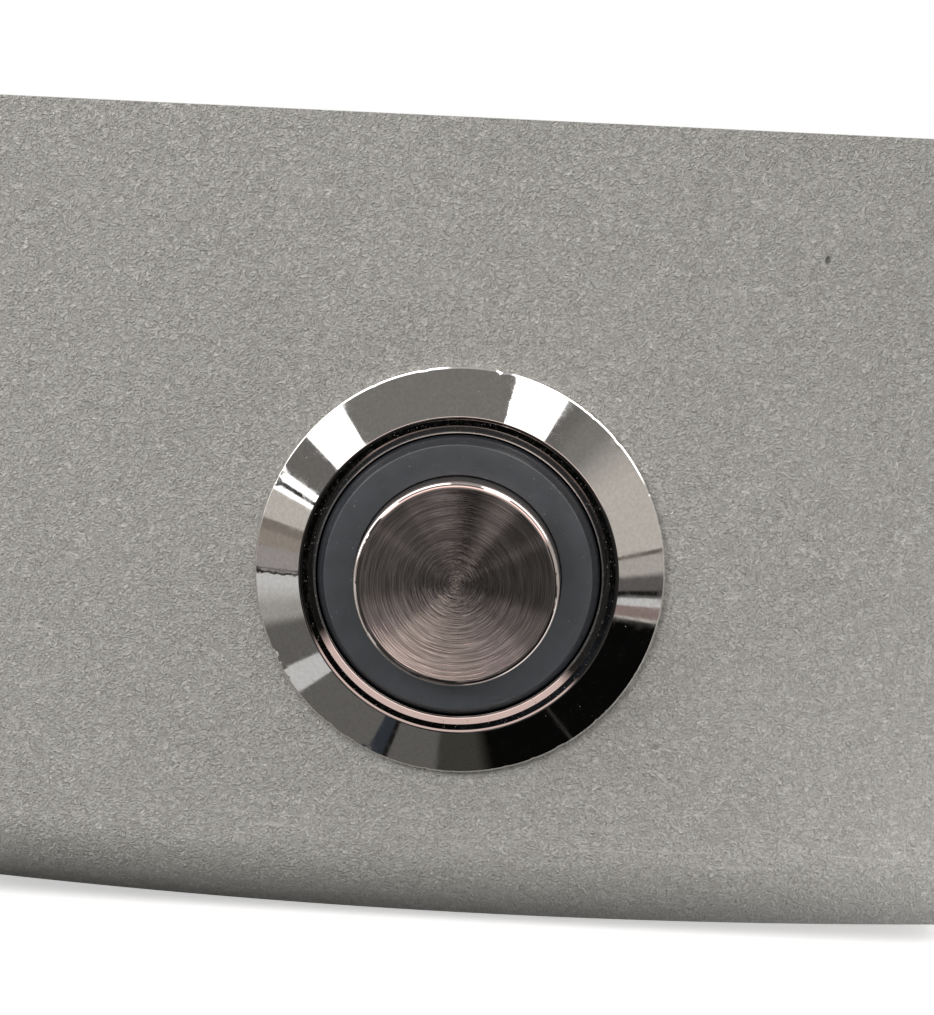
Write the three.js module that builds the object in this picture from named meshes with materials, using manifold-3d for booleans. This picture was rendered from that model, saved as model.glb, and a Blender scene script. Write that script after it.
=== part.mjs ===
// A ring-lit metal push button, clamped by its nut in the formed wall of its housing.
// Millimetres, +Z up. The press axis is Y: the user stands on the -Y side and presses towards +Y.
// The origin is the centre of the cap's press face when nobody presses it.
// Depths are measured behind the wall's front face, so anything in front of the wall is negative.

import * as THREE from 'three';
import { mergeVertices } from 'three/addons/utils/BufferGeometryUtils.js';
import Module from 'manifold-3d';

const wasm = await Module();
wasm.setup();

// ---- Driving dimensions ----

const ROUND = 40;                 // facets on the large turned pieces
const SMALL_ROUND = 16;           // facets on pins, wires and small holes
const TOUCH = 0.03;               // gap left between pieces that rest on each other
const SLIP = 0.05;                // gap around a piece held in a slot

const WALL = {
  thickness: 1.5,
  halfWidth: 28,
  top: 24.1,                      // plain top edge, above the press axis
  rollStart: 15.2,                // where the front face starts to roll back, below the axis
  rollRadius: 4.8,                // outside radius of the rolled lower edge
  returnDepth: 9,                 // how far the lower edge returns behind the front face
  bowRadius: 450,                 // the lower edge bows down in the middle
  holeRadius: 9.65,
};

const BEZEL = {
  rimRadius: 11,
  rimHeight: 0.28,
  rimBreak: 0.1,                  // bevel between the rim and the cone
  landRadius: 8.47,               // where the cone meets the flat land
  landHeight: 1.88,
  lipRadius: 0.16,                // rounded inner edge of the land
  boreRadius: 7.6,
};

const BARREL = {
  radius: 9.5,
  shoulderDepth: 3,               // stops the collar of the light ring
  chamberRadius: 8.2,
  length: 22,
  chamfer: 0.4,
};

const SEAL_GROOVE = { outer: 10.15, depth: 0.5 };
const PANEL_SEAL = { ringRadius: 9.83, wireRadius: 0.22 };

const CAP = {
  radius: 5.47,
  height: 4.75,
  shoulder: 0.36,
  innerRadius: 4.87,
  faceThickness: 0.7,
  rimHeight: 1.95,                // the cap's lower rim stops this far in front of the wall
};

const RING = {
  radius: 7.38,
  height: 2.58,
  shoulder: 0.2,
  bossRadius: 4.8,
  grooveRadius: 5.58,             // the slot that takes the cap's lower rim
  grooveFloor: 1.9,
  sealFrom: 0.6,
  sealTo: 1.4,
  sealRadius: 6.88,
  collarRadius: 8.05,
  collarEnd: 4.6,
  skirtRadius: 6.2,
  webBack: -0.6,
  stemRadius: 1.6,
  stemEnd: 9.6,
};
const PLUNGER_SEAL = { ringRadius: 7.26, wireRadius: 0.3, depth: 1 };

const HOUSING = {
  spoolRadius: 5.6,
  front: 3.45,
  springBore: 3.1,
  springFloor: 7.5,
  flangeFront: 7.2,
  radius: 8.12,
  stemBore: 1.8,
  chamberFront: 9.4,
  chamberRadius: 6.9,
  end: 16.2,
};

const RETURN_SPRING = { radius: 2.35, wire: 0.2, turns: 6, from: -0.36, to: 7.26 };
const CONTACT_SPRING = { radius: 0.85, wire: 0.13, turns: 4, from: 10.77, to: 12.63 };

const BOARD = { inner: 3.4, outer: 5.9, front: 2.6, thickness: 0.8, holeRadius: 0.4 };
const LED = { ringRadius: 4.75, length: 1.6, width: 0.9, height: 0.6, count: 4 };
const LEAD = { offset: 4.6, radius: 0.28, front: 2.15, solderRadius: 0.62, holeRadius: 0.5 };
const RESISTOR = { front: 10.4, length: 3.3, radius: 0.8, waist: 0.62, endBand: 0.7 };

const CARRIER = { radius: 2.6, front: 9.65, end: 14.6, slotFront: 10.6, slotEnd: 13.25, slotWidth: 2.5 };
const BRIDGE = { length: 11.4, width: 2.4, front: 12.8, thickness: 0.4, waist: 1.7 };
const CONTACT = { offset: 4.5, movingRadius: 1, fixedRadius: 1.1, height: 0.45, crown: 0.12 };

const TERMINAL = {
  thickness: 0.5,
  end: 30,
  holeRadius: 0.6,
  holeInset: 2.2,
  tip: 0.6,
  setOver: 0.1,                   // the tab is set over behind the base, which locks the blade
  setOverFrom: 24.2,
};
const SWITCH_TAB = { offset: 4.5, width: 2.8, headFrom: 3, headTo: 6, headFront: 15.8 };
const LAMP_TAB = { offset: 5, width: 2, headFrom: 4.2, headTo: 5.6, headFront: 17.4 };

const BASE = { front: 16.35, plugRadius: 8.12, flangeRadius: 9.2, flangeFront: 22.42, end: 24.9 };
const BASE_RECESS = { radius: 7.9, depth: 0.8 };
const CARRIER_POCKET = { radius: 2.9, end: 17.6 };
const BASE_GASKET = { inner: 8.3, outer: 9.25 };

const WASHER = { outer: 11.4, root: 10.4, tip: 9.68, thickness: 0.6, teeth: 16 };
const NUT = { acrossFlats: 22, thickness: 3, boreRadius: 9.56, chamfer: 0.5, boreChamfer: 0.35 };

// ---- Finishes ----

const finish = (color, roughness, metalness) =>
  new THREE.MeshStandardMaterial({ color, roughness, metalness });

const chrome = () => finish(0xd8d6d2, 0.06, 1);
const turnedSteel = () => finish(0xa59a96, 0.28, 1);
const greyPaint = () => finish(0x9c9994, 0.55, 0.3);
const smokedPlastic = () => finish(0x46494d, 0.35, 0);
const blackRubber = () => finish(0x161616, 0.8, 0);
const blackPlastic = () => finish(0x1f2022, 0.5, 0);
const redPlastic = () => finish(0x8e2a20, 0.5, 0);
const springSteel = () => finish(0xb4b6b8, 0.3, 1);
const zincSteel = () => finish(0xc2c4c6, 0.32, 1);
const brass = () => finish(0xc9a24e, 0.3, 1);
const silver = () => finish(0xdfdfdc, 0.25, 1);
const tinnedCopper = () => finish(0xbdbbb4, 0.35, 1);
const circuitBoard = () => finish(0x1d5a34, 0.45, 0);
const ledBody = () => finish(0xe9e2c4, 0.4, 0);
const resistorBody = () => finish(0xb98f5c, 0.55, 0);

// ---- Shape helpers ----

// Points on an arc in a half-section, as [radius, depth], with angles in degrees from +radius.
function arc(centreRadius, centreDepth, radius, from, to, steps) {
  return Array.from({ length: steps + 1 }, (_, i) => {
    const angle = THREE.MathUtils.degToRad(from + ((to - from) * i) / steps);
    return [centreRadius + radius * Math.cos(angle), centreDepth + radius * Math.sin(angle)];
  });
}

// A turned solid about the press axis from a half-section. A section that doesn't start and end
// on the axis is closed on itself.
function turned(section, facets = ROUND) {
  const onAxis = section[0][0] === 0 && section.at(-1)[0] === 0;
  const points = section.map(([radius, depth]) => new THREE.Vector2(radius, depth));
  if (THREE.ShapeUtils.area(points) < 0) {
    points.reverse();
  }
  if (!onAxis) {
    points.push(points[0].clone());
  }
  return new THREE.LatheGeometry(points, facets);
}

// A flat outline in X and Z, thickened along the press axis from a front depth.
function plate(shape, front, thickness, curveSegments = SMALL_ROUND) {
  const geometry = new THREE.ExtrudeGeometry(shape, { depth: thickness, bevelEnabled: false, curveSegments });
  geometry.rotateX(Math.PI / 2);
  geometry.translate(0, front + thickness, 0);
  return geometry;
}

function polygon(points) {
  return new THREE.Shape(points.map(([x, y]) => new THREE.Vector2(x, y)));
}

function block(width, height, from, to, x = 0, z = 0) {
  const geometry = new THREE.BoxGeometry(width, to - from, height);
  geometry.translate(x, (from + to) / 2, z);
  return geometry;
}

function rod(radius, from, to, x = 0, z = 0) {
  const geometry = new THREE.CylinderGeometry(radius, radius, to - from, SMALL_ROUND);
  geometry.translate(x, (from + to) / 2, z);
  return geometry;
}

// Joins and cuts run on merged, position-only meshes.
function toSolid(source) {
  const geometry = source.clone();
  geometry.deleteAttribute('normal');
  geometry.deleteAttribute('uv');
  const merged = mergeVertices(geometry, 1e-5);
  return new wasm.Manifold(new wasm.Mesh({
    numProp: 3,
    vertProperties: Float32Array.from(merged.attributes.position.array),
    triVerts: Uint32Array.from(merged.index.array),
  }));
}

function toGeometry(solid) {
  const mesh = solid.getMesh();
  const geometry = new THREE.BufferGeometry();
  geometry.setAttribute('position', new THREE.BufferAttribute(mesh.vertProperties, 3));
  geometry.setIndex(new THREE.BufferAttribute(mesh.triVerts, 1));
  geometry.computeVertexNormals();
  return geometry;
}

function cut(blank, ...tools) {
  const result = tools.reduce((solid, tool) => solid.subtract(toSolid(tool)), toSolid(blank));
  return toGeometry(result);
}

// A coil whose end turns lie closer together than its middle turns.
class Coil extends THREE.Curve {
  constructor({ radius, turns, from, to }) {
    super();
    Object.assign(this, { radius, turns, from, to });
  }

  getPoint(t, target = new THREE.Vector3()) {
    const endCrowding = 0.55;
    const rise = t - (endCrowding * Math.sin(2 * Math.PI * t)) / (2 * Math.PI);
    const angle = 2 * Math.PI * this.turns * t;
    const depth = this.from + (this.to - this.from) * rise;
    return target.set(this.radius * Math.cos(angle), depth, this.radius * Math.sin(angle));
  }
}

function spring(size) {
  const stepsPerTurn = 12;
  const wireSides = 6;
  const section = polygon(Array.from({ length: wireSides }, (_, i) => {
    const angle = (2 * Math.PI * i) / wireSides;
    return [size.wire * Math.cos(angle), size.wire * Math.sin(angle)];
  }));
  return new THREE.ExtrudeGeometry(section, {
    steps: size.turns * stepsPerTurn,
    extrudePath: new Coil(size),
    bevelEnabled: false,
  });
}

function ring({ ringRadius, wireRadius }, depth) {
  const sides = 8;
  const facets = 32;
  return turned(arc(ringRadius, depth, wireRadius, 0, 360 - 360 / sides, sides - 1), facets);
}

// ---- The housing wall ----

// A sheet section, flat in front and rolled back along its lower edge, drawn in depth and height.
function wallSection() {
  const rollSteps = 9;
  const centreDepth = WALL.rollRadius;
  const centreHeight = -WALL.rollStart;
  const roll = (radius, from, to) => arc(centreDepth, centreHeight, radius, from, to, rollSteps);
  return [
    [0, WALL.top],
    ...roll(WALL.rollRadius, 180, 270),
    [WALL.returnDepth, centreHeight - WALL.rollRadius],
    [WALL.returnDepth, centreHeight - WALL.rollRadius + WALL.thickness],
    ...roll(WALL.rollRadius - WALL.thickness, 270, 180),
    [WALL.thickness, WALL.top],
  ];
}

function housingWall() {
  const spans = 12;
  const sheet = new THREE.ExtrudeGeometry(polygon(wallSection()), {
    depth: 2 * WALL.halfWidth,
    steps: spans,
    bevelEnabled: false,
  });
  // Depth, height and extrusion become Y, Z and X.
  sheet.applyMatrix4(new THREE.Matrix4().makeBasis(
    new THREE.Vector3(0, 1, 0),
    new THREE.Vector3(0, 0, 1),
    new THREE.Vector3(1, 0, 0),
  ));
  sheet.translate(-WALL.halfWidth, 0, 0);
  const position = sheet.attributes.position;
  for (let i = 0; i < position.count; i += 1) {
    if (position.getZ(i) < 0) {
      const lift = position.getX(i) ** 2 / (2 * WALL.bowRadius);
      position.setZ(i, position.getZ(i) + lift);
    }
  }
  const margin = 1;
  const hole = new THREE.CylinderGeometry(
    WALL.holeRadius, WALL.holeRadius, WALL.thickness + 2 * margin, ROUND,
  );
  hole.translate(0, WALL.thickness / 2, 0);
  return cut(sheet, hole);
}

// ---- The metal body and what clamps it ----

function bushing() {
  const { rimRadius, rimHeight, rimBreak, landRadius, landHeight, lipRadius, boreRadius } = BEZEL;
  return turned([
    [rimRadius, 0],
    [rimRadius, -rimHeight],
    [rimRadius - rimBreak, -rimHeight - rimBreak],
    [landRadius, -landHeight],
    ...arc(boreRadius + lipRadius, lipRadius - landHeight, lipRadius, 270, 180, 4),
    [boreRadius, BARREL.shoulderDepth],
    [BARREL.chamberRadius, BARREL.shoulderDepth],
    [BARREL.chamberRadius, BARREL.length],
    [BARREL.radius - BARREL.chamfer, BARREL.length],
    [BARREL.radius, BARREL.length - BARREL.chamfer],
    [BARREL.radius, -SEAL_GROOVE.depth],
    [SEAL_GROOVE.outer, -SEAL_GROOVE.depth],
    [SEAL_GROOVE.outer, 0],
  ]);
}

function lockWasher() {
  const { outer, root, tip, thickness, teeth } = WASHER;
  const toothShare = 0.5;
  const outline = new THREE.Shape().absarc(0, 0, outer, 0, 2 * Math.PI);
  const pitch = (2 * Math.PI) / teeth;
  const inner = [];
  for (let i = 0; i < teeth; i += 1) {
    const start = i * pitch;
    const gapEnd = start + pitch * (1 - toothShare);
    inner.push([root, start], [root, gapEnd], [tip, gapEnd], [tip, start + pitch]);
  }
  const points = inner.map(([r, a]) => new THREE.Vector2(r * Math.cos(a), r * Math.sin(a)));
  outline.holes.push(new THREE.Path(points));
  return plate(outline, WALL.thickness + TOUCH, thickness, ROUND / 2);
}

const nutFront = WALL.thickness + WASHER.thickness + 2 * TOUCH;

function mountingNut() {
  const { acrossFlats, thickness, boreRadius, chamfer, boreChamfer } = NUT;
  const cornerRadius = acrossFlats / 2 / Math.cos(Math.PI / 6);
  const back = nutFront + thickness;
  const hexagon = polygon(Array.from({ length: 6 }, (_, i) => {
    const angle = (Math.PI / 3) * i;
    return [cornerRadius * Math.cos(angle), cornerRadius * Math.sin(angle)];
  }));
  const faceRadius = acrossFlats / 2 - 0.1;
  const envelope = turned([
    [0, nutFront],
    [faceRadius, nutFront],
    [cornerRadius + SLIP, nutFront + chamfer],
    [cornerRadius + SLIP, back - chamfer],
    [faceRadius, back],
    [0, back],
  ]);
  const bore = turned([
    [0, nutFront - SLIP],
    [boreRadius + boreChamfer, nutFront - SLIP],
    [boreRadius, nutFront + boreChamfer],
    [boreRadius, back - boreChamfer],
    [boreRadius + boreChamfer, back + SLIP],
    [0, back + SLIP],
  ]);
  const blank = toSolid(plate(hexagon, nutFront, thickness)).intersect(toSolid(envelope));
  return toGeometry(blank.subtract(toSolid(bore)));
}

// ---- What the finger moves ----

function actuatorCap() {
  const { radius, height, shoulder, innerRadius, faceThickness, rimHeight } = CAP;
  return turned([
    [0, -height],
    ...arc(radius - shoulder, shoulder - height, shoulder, 270, 360, 5),
    [radius, -rimHeight],
    [innerRadius, -rimHeight],
    [innerRadius, faceThickness - height],
    [0, faceThickness - height],
  ]);
}

function lightRing() {
  const { radius, height, shoulder } = RING;
  return turned([
    [0, CAP.faceThickness + SLIP - CAP.height],
    [RING.bossRadius, CAP.faceThickness + SLIP - CAP.height],
    [RING.bossRadius, -RING.grooveFloor],
    [RING.grooveRadius, -RING.grooveFloor],
    [RING.grooveRadius, -height],
    ...arc(radius - shoulder, shoulder - height, shoulder, 270, 360, 3),
    [radius, RING.sealFrom],
    [RING.sealRadius, RING.sealFrom],
    [RING.sealRadius, RING.sealTo],
    [radius, RING.sealTo],
    [radius, BARREL.shoulderDepth + SLIP],
    [RING.collarRadius, BARREL.shoulderDepth + SLIP],
    [RING.collarRadius, RING.collarEnd],
    [RING.skirtRadius, RING.collarEnd],
    [RING.skirtRadius, RING.webBack],
    [RING.stemRadius, RING.webBack],
    [RING.stemRadius, RING.stemEnd],
    [0, RING.stemEnd],
  ]);
}

function contactCarrier() {
  const { radius, front, end, slotFront, slotEnd, slotWidth } = CARRIER;
  return cut(
    turned([[0, front], [radius, front], [radius, end], [0, end]], ROUND),
    block(4 * radius, slotWidth, slotFront, slotEnd),
  );
}

// A strip with round ends that narrows where it passes through the carrier.
function contactBridge() {
  const { length, width, front, thickness, waist } = BRIDGE;
  const half = width / 2;
  const endCentre = length / 2 - half;
  const waistEnd = CARRIER.radius;
  const shape = new THREE.Shape();
  shape.absarc(endCentre, 0, half, -Math.PI / 2, Math.PI / 2);
  shape.lineTo(waistEnd + half - waist / 2, half);
  shape.lineTo(waistEnd, waist / 2);
  shape.lineTo(-waistEnd, waist / 2);
  shape.lineTo(-waistEnd - half + waist / 2, half);
  shape.absarc(-endCentre, 0, half, Math.PI / 2, (3 * Math.PI) / 2);
  shape.lineTo(-waistEnd - half + waist / 2, -half);
  shape.lineTo(-waistEnd, -waist / 2);
  shape.lineTo(waistEnd, -waist / 2);
  shape.lineTo(waistEnd + half - waist / 2, -half);
  return plate(shape, front, thickness, SMALL_ROUND / 2);
}

// A contact button with a crowned face. The crown points towards the other contact.
function contactButton(radius, seat, direction, x) {
  const face = seat + direction * CONTACT.height;
  const geometry = turned([
    [0, seat],
    [radius, seat],
    [radius, face - direction * CONTACT.crown],
    [radius * 0.7, face],
    [0, face],
  ], SMALL_ROUND);
  geometry.translate(x, 0, 0);
  return geometry;
}

// ---- The fixed insides ----

function innerHousing() {
  const body = turned([
    [HOUSING.springBore, HOUSING.front],
    [HOUSING.spoolRadius, HOUSING.front],
    [HOUSING.spoolRadius, HOUSING.flangeFront],
    [HOUSING.radius, HOUSING.flangeFront],
    [HOUSING.radius, HOUSING.end],
    [HOUSING.chamberRadius, HOUSING.end],
    [HOUSING.chamberRadius, HOUSING.chamberFront],
    [HOUSING.stemBore, HOUSING.chamberFront],
    [HOUSING.stemBore, HOUSING.springFloor],
    [HOUSING.springBore, HOUSING.springFloor],
  ]);
  const leadHoles = [-1, 1].map((side) =>
    rod(LEAD.holeRadius, HOUSING.front - 1, HOUSING.chamberFront + 1, 0, side * LEAD.offset));
  return cut(body, ...leadHoles);
}

function ledBoard() {
  const { inner, outer, front, thickness, holeRadius } = BOARD;
  const disc = new THREE.Shape().absarc(0, 0, outer, 0, 2 * Math.PI);
  const holes = [[inner, 0], [holeRadius, LEAD.offset], [holeRadius, -LEAD.offset]];
  for (const [radius, z] of holes) {
    disc.holes.push(new THREE.Path().absarc(0, z, radius, 0, 2 * Math.PI));
  }
  return plate(disc, front, thickness, SMALL_ROUND);
}

function led(index) {
  const geometry = block(
    LED.length, LED.width, BOARD.front - TOUCH - LED.height, BOARD.front - TOUCH, 0, LED.ringRadius,
  );
  geometry.rotateY(((index + 0.5) * 2 * Math.PI) / LED.count);
  return geometry;
}

// A straight lead with a cone of solder in front of the board.
function lampLead(side, end) {
  const geometry = turned([
    [0, LEAD.front],
    [LEAD.radius, LEAD.front],
    [LEAD.solderRadius, BOARD.front - TOUCH],
    [LEAD.radius, BOARD.front - TOUCH],
    [LEAD.radius, end],
    [0, end],
  ], SMALL_ROUND);
  geometry.translate(0, 0, side * LEAD.offset);
  return geometry;
}

// An axial resistor with two wider end bands and its rear lead.
function resistor() {
  const { front, length, radius, waist, endBand } = RESISTOR;
  const back = front + length;
  const geometry = turned([
    [0, front],
    [radius - 0.2, front],
    [radius, front + 0.2],
    [radius, front + endBand],
    [waist, front + endBand + 0.2],
    [waist, back - endBand - 0.2],
    [radius, back - endBand],
    [radius, back - 0.2],
    [radius - 0.2, back],
    [LEAD.radius, back],
    [LEAD.radius, LAMP_TAB.headFront - TOUCH],
    [0, LAMP_TAB.headFront - TOUCH],
  ], SMALL_ROUND);
  geometry.translate(0, 0, LEAD.offset);
  return geometry;
}

// A T-shaped blade: a head inside the switch and a tab with a hole behind it. It is drawn for a
// tab on the +X side and turned about the press axis to its own side.
function terminal(tab, turn) {
  const { thickness, end, holeRadius, holeInset, tip, setOver, setOverFrom } = TERMINAL;
  const near = tab.offset - thickness / 2;
  const far = tab.offset + thickness / 2;
  const headBack = tab.headFront + thickness;
  const profile = polygon([
    [tab.headFrom, tab.headFront],
    [tab.headTo, tab.headFront],
    [tab.headTo, headBack],
    [far, headBack],
    [far, setOverFrom],
    [far + setOver, setOverFrom],
    [far + setOver, end],
    [near + setOver, end],
    [near + setOver, setOverFrom + setOver],
    [near, setOverFrom + setOver],
    [near, headBack],
    [tab.headFrom, headBack],
  ]);
  const blank = new THREE.ExtrudeGeometry(profile, { depth: tab.width, bevelEnabled: false });
  blank.translate(0, 0, -tab.width / 2);
  const hole = new THREE.CylinderGeometry(holeRadius, holeRadius, 1, SMALL_ROUND);
  hole.rotateZ(Math.PI / 2);
  hole.translate(tab.offset, end - holeInset, 0);
  const corners = [-1, 1].map((side) => {
    const corner = new THREE.BoxGeometry(1, 2 * tip, 2 * tip);
    corner.rotateX(Math.PI / 4);
    corner.translate(tab.offset, end + tip * 0.5, side * (tab.width / 2 + tip * 0.5));
    return corner;
  });
  const geometry = cut(blank, hole, ...corners);
  geometry.rotateY(turn);
  return geometry;
}

function terminalBase() {
  const { front, plugRadius, flangeRadius, flangeFront, end } = BASE;
  const body = turned([
    [0, front],
    [plugRadius, front],
    [plugRadius, flangeFront],
    [flangeRadius, flangeFront],
    [flangeRadius, end - 0.3],
    [flangeRadius - 0.3, end],
    [BASE_RECESS.radius, end],
    [BASE_RECESS.radius, end - BASE_RECESS.depth],
    [0, end - BASE_RECESS.depth],
  ]);
  const slotThickness = TERMINAL.thickness + 2 * SLIP;
  const headBack = LAMP_TAB.headFront + TERMINAL.thickness + SLIP;
  const headWidth = LAMP_TAB.headTo - LAMP_TAB.headFrom + 2 * SLIP;
  const headCentre = (LAMP_TAB.headTo + LAMP_TAB.headFrom) / 2;
  const slots = [-1, 1].flatMap((side) => [
    block(slotThickness, SWITCH_TAB.width + 2 * SLIP, front - 1, end + 1, side * SWITCH_TAB.offset, 0),
    block(LAMP_TAB.width + 2 * SLIP, slotThickness, front - 1, end + 1, 0, side * LAMP_TAB.offset),
    block(LAMP_TAB.width + 2 * SLIP, headWidth, front - 1, headBack, 0, side * headCentre),
  ]);
  return cut(body, rod(CARRIER_POCKET.radius, front - 1, CARRIER_POCKET.end), ...slots);
}

function baseGasket() {
  const front = BARREL.length + TOUCH;
  const back = BASE.flangeFront - TOUCH;
  return turned([
    [BASE_GASKET.inner, front],
    [BASE_GASKET.outer, front],
    [BASE_GASKET.outer, back],
    [BASE_GASKET.inner, back],
  ]);
}

// ---- Assembly ----

const bridgeBack = BRIDGE.front + BRIDGE.thickness;
const movingSeat = bridgeBack + TOUCH;
const fixedSeat = SWITCH_TAB.headFront - TOUCH;

const button = new THREE.Group();
button.position.y = CAP.height;

function add(name, geometry, material) {
  const mesh = new THREE.Mesh(geometry, material);
  mesh.name = name;
  button.add(mesh);
}

add('housing_wall', housingWall(), greyPaint());
add('bushing', bushing(), chrome());
add('panel_seal', ring(PANEL_SEAL, -SEAL_GROOVE.depth / 2), blackRubber());
add('lock_washer', lockWasher(), zincSteel());
add('mounting_nut', mountingNut(), zincSteel());

add('actuator_cap', actuatorCap(), turnedSteel());
add('light_ring', lightRing(), smokedPlastic());
add('plunger_seal', ring(PLUNGER_SEAL, PLUNGER_SEAL.depth), blackRubber());
add('return_spring', spring(RETURN_SPRING), springSteel());
add('contact_carrier', contactCarrier(), redPlastic());
add('contact_spring', spring(CONTACT_SPRING), springSteel());
add('contact_bridge', contactBridge(), brass());

add('inner_housing', innerHousing(), blackPlastic());
add('led_board', ledBoard(), circuitBoard());
for (let i = 0; i < LED.count; i += 1) {
  add(`led_${i + 1}`, led(i), ledBody());
}
add('led_lead_plus', lampLead(1, RESISTOR.front - TOUCH), tinnedCopper());
add('led_lead_minus', lampLead(-1, LAMP_TAB.headFront - TOUCH), tinnedCopper());
add('resistor', resistor(), resistorBody());

for (const [name, side] of [['no', 1], ['common', -1]]) {
  const x = side * CONTACT.offset;
  const turn = side > 0 ? 0 : Math.PI;
  add(`moving_contact_${name}`, contactButton(CONTACT.movingRadius, movingSeat, 1, x), silver());
  add(`fixed_contact_${name}`, contactButton(CONTACT.fixedRadius, fixedSeat, -1, x), silver());
  add(`${name}_terminal`, terminal(SWITCH_TAB, turn), brass());
}
add('lamp_plus_terminal', terminal(LAMP_TAB, -Math.PI / 2), brass());
add('lamp_minus_terminal', terminal(LAMP_TAB, Math.PI / 2), brass());

add('terminal_base', terminalBase(), blackPlastic());
add('base_gasket', baseGasket(), blackRubber());

export default button;
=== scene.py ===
"""Looks of a ring-lit metal push button clamped in the formed wall of its housing.

Sizes are in millimetres until a mesh is made, and every piece is built in the frame of the CAD model:
+Z up, the press axis along Y, the user on the -Y side. A depth is measured behind the wall's front
face, so what stands in front of the wall has a negative depth.
"""

import math
import random
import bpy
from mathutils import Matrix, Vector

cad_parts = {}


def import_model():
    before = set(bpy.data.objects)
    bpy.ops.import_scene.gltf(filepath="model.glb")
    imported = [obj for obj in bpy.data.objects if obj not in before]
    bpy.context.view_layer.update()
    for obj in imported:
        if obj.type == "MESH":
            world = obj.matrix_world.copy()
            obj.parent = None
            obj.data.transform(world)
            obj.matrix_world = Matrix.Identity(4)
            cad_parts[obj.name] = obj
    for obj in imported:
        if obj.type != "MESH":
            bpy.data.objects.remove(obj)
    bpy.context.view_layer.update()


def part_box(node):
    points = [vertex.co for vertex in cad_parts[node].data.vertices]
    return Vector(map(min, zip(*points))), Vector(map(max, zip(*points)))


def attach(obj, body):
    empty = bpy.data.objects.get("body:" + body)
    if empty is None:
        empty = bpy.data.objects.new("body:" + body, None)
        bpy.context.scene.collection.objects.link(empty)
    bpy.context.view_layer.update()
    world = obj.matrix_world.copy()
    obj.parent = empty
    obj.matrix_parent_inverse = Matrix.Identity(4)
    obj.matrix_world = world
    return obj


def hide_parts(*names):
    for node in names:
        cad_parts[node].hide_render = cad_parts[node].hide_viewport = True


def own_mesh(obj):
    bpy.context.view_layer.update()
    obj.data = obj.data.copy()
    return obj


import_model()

from types import SimpleNamespace as Sizes

import bmesh
import bpy
from mathutils import Euler, Matrix, Vector

MM = 0.001
TAU = 2 * math.pi


# ---- Driving sizes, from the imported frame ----

def low(node):
    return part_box(node)[0] / MM


def high(node):
    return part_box(node)[1] / MM


SEAT = low("housing_wall").y              # the wall's front face


def depths(node):
    """Where a node starts and ends behind the wall's front face."""
    return low(node).y - SEAT, high(node).y - SEAT


RIM_RADIUS = high("bushing").x
BARREL_END = depths("bushing")[1]
CAP_RADIUS = high("actuator_cap").x
CAP_TOP, CAP_RIM = depths("actuator_cap")
COLLAR_RADIUS = high("light_ring").x
STEM_END = depths("light_ring")[1]
NUT_FRONT, NUT_BACK = depths("mounting_nut")
NUT_CORNER = high("mounting_nut").x
NUT_FLAT = high("mounting_nut").z
BASE_FRONT, BASE_END = depths("terminal_base")
WALL_TOP = high("housing_wall").z
WALL_BOTTOM = low("housing_wall").z
WALL_HALF = high("housing_wall").x
WALL_RETURN = depths("housing_wall")[1]

# ---- Sizes that the boxes don't give ----

THREAD = Sizes(major=9.5, height=0.6, pitch=1.0, start=1.0, end=21.6, play=0.07)
BEZEL = Sizes(
    rim=0.28, chamfer=0.1, crest_radius=8.47, crest=1.88, land_radius=8.33, land=1.823,
    lip_radius=8.02, lip_foot_radius=7.68, lip_foot=1.686, bead=1.715, bore=7.6,
)
CHAMBER_RADIUS = 8.2
SHOULDER_DEPTH = 3.0
SEAL_GROOVE = Sizes(outer=10.15, depth=0.5)
WALL = Sizes(thickness=1.5, roll_radius=4.8, bow_radius=450.0, hole=9.65)
CAP = Sizes(outer=CAP_RADIUS - 0.05, shoulder=0.36, inner=4.87, face=0.7, dish=0.1, line=0.045)
RING = Sizes(
    radius=7.38, top=2.58, top_radius=7.08, flank_radius=7.5, flank=1.6, flank_end=0.4,
    flank_foot=0.2, boss=4.8, groove=5.47, groove_floor=1.9, seal_from=0.6, seal_to=1.4,
    seal_radius=6.88, collar_end=4.6, skirt=6.2, web=-0.6, stem=1.6,
)
WASHER = Sizes(teeth=16, tip=9.68, root=10.4)
NUT = Sizes(chamfer=0.1, chamfer_drop=0.5, mouth=THREAD.major + 0.41)
CARRIER_SLOT = Sizes(from_front=0.95, from_back=1.35, half_height=1.25, half_length=9.0)
BRIDGE = Sizes(waist=0.85, neck=2.6)
RETURN_SPRING = Sizes(wire=0.2, turns=6)
CONTACT_SPRING = Sizes(wire=0.13, turns=4)
SPOOL = Sizes(
    radius=5.6, spring_bore=3.1, spring_floor=7.5, end=7.2, stem_bore=1.8,
    chamber_roof=9.4, chamber=6.9,
)
BOARD = Sizes(inner=3.4, outer=5.9)
LED = Sizes(half_width=0.8, inner=4.3, outer=5.2, body=0.18, lens_edge=0.14, lens_rise=0.17)
LEAD = Sizes(offset=4.6, radius=0.28, joint_radius=0.61, joint_end=2.57, tip_radius=0.34, tip=0.2)
RESISTOR = Sizes(length=3.3, cap_radius=0.8, cap=0.7, middle_radius=0.62, middle=0.9)
SWITCH_TAB = Sizes(head_from=3.0, head_to=6.0, offset=4.5, head=15.8, width=2.8)
LAMP_TAB = Sizes(head_from=4.2, head_to=5.6, offset=5.0, head=17.4, width=2.0)
BLADE = Sizes(
    thickness=0.5, end=30.0, step=0.1, step_from=24.2, hole=0.6, hole_from_end=2.2,
    point=0.72,
)
BASE = Sizes(
    plug=8.12, flange_from=22.42, radius=high("terminal_base").x, recess=7.9,
    recess_depth=0.8, pocket=2.9, pocket_end=17.6, slot_play=0.05,
)
GASKET_BORE = 8.3
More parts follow.
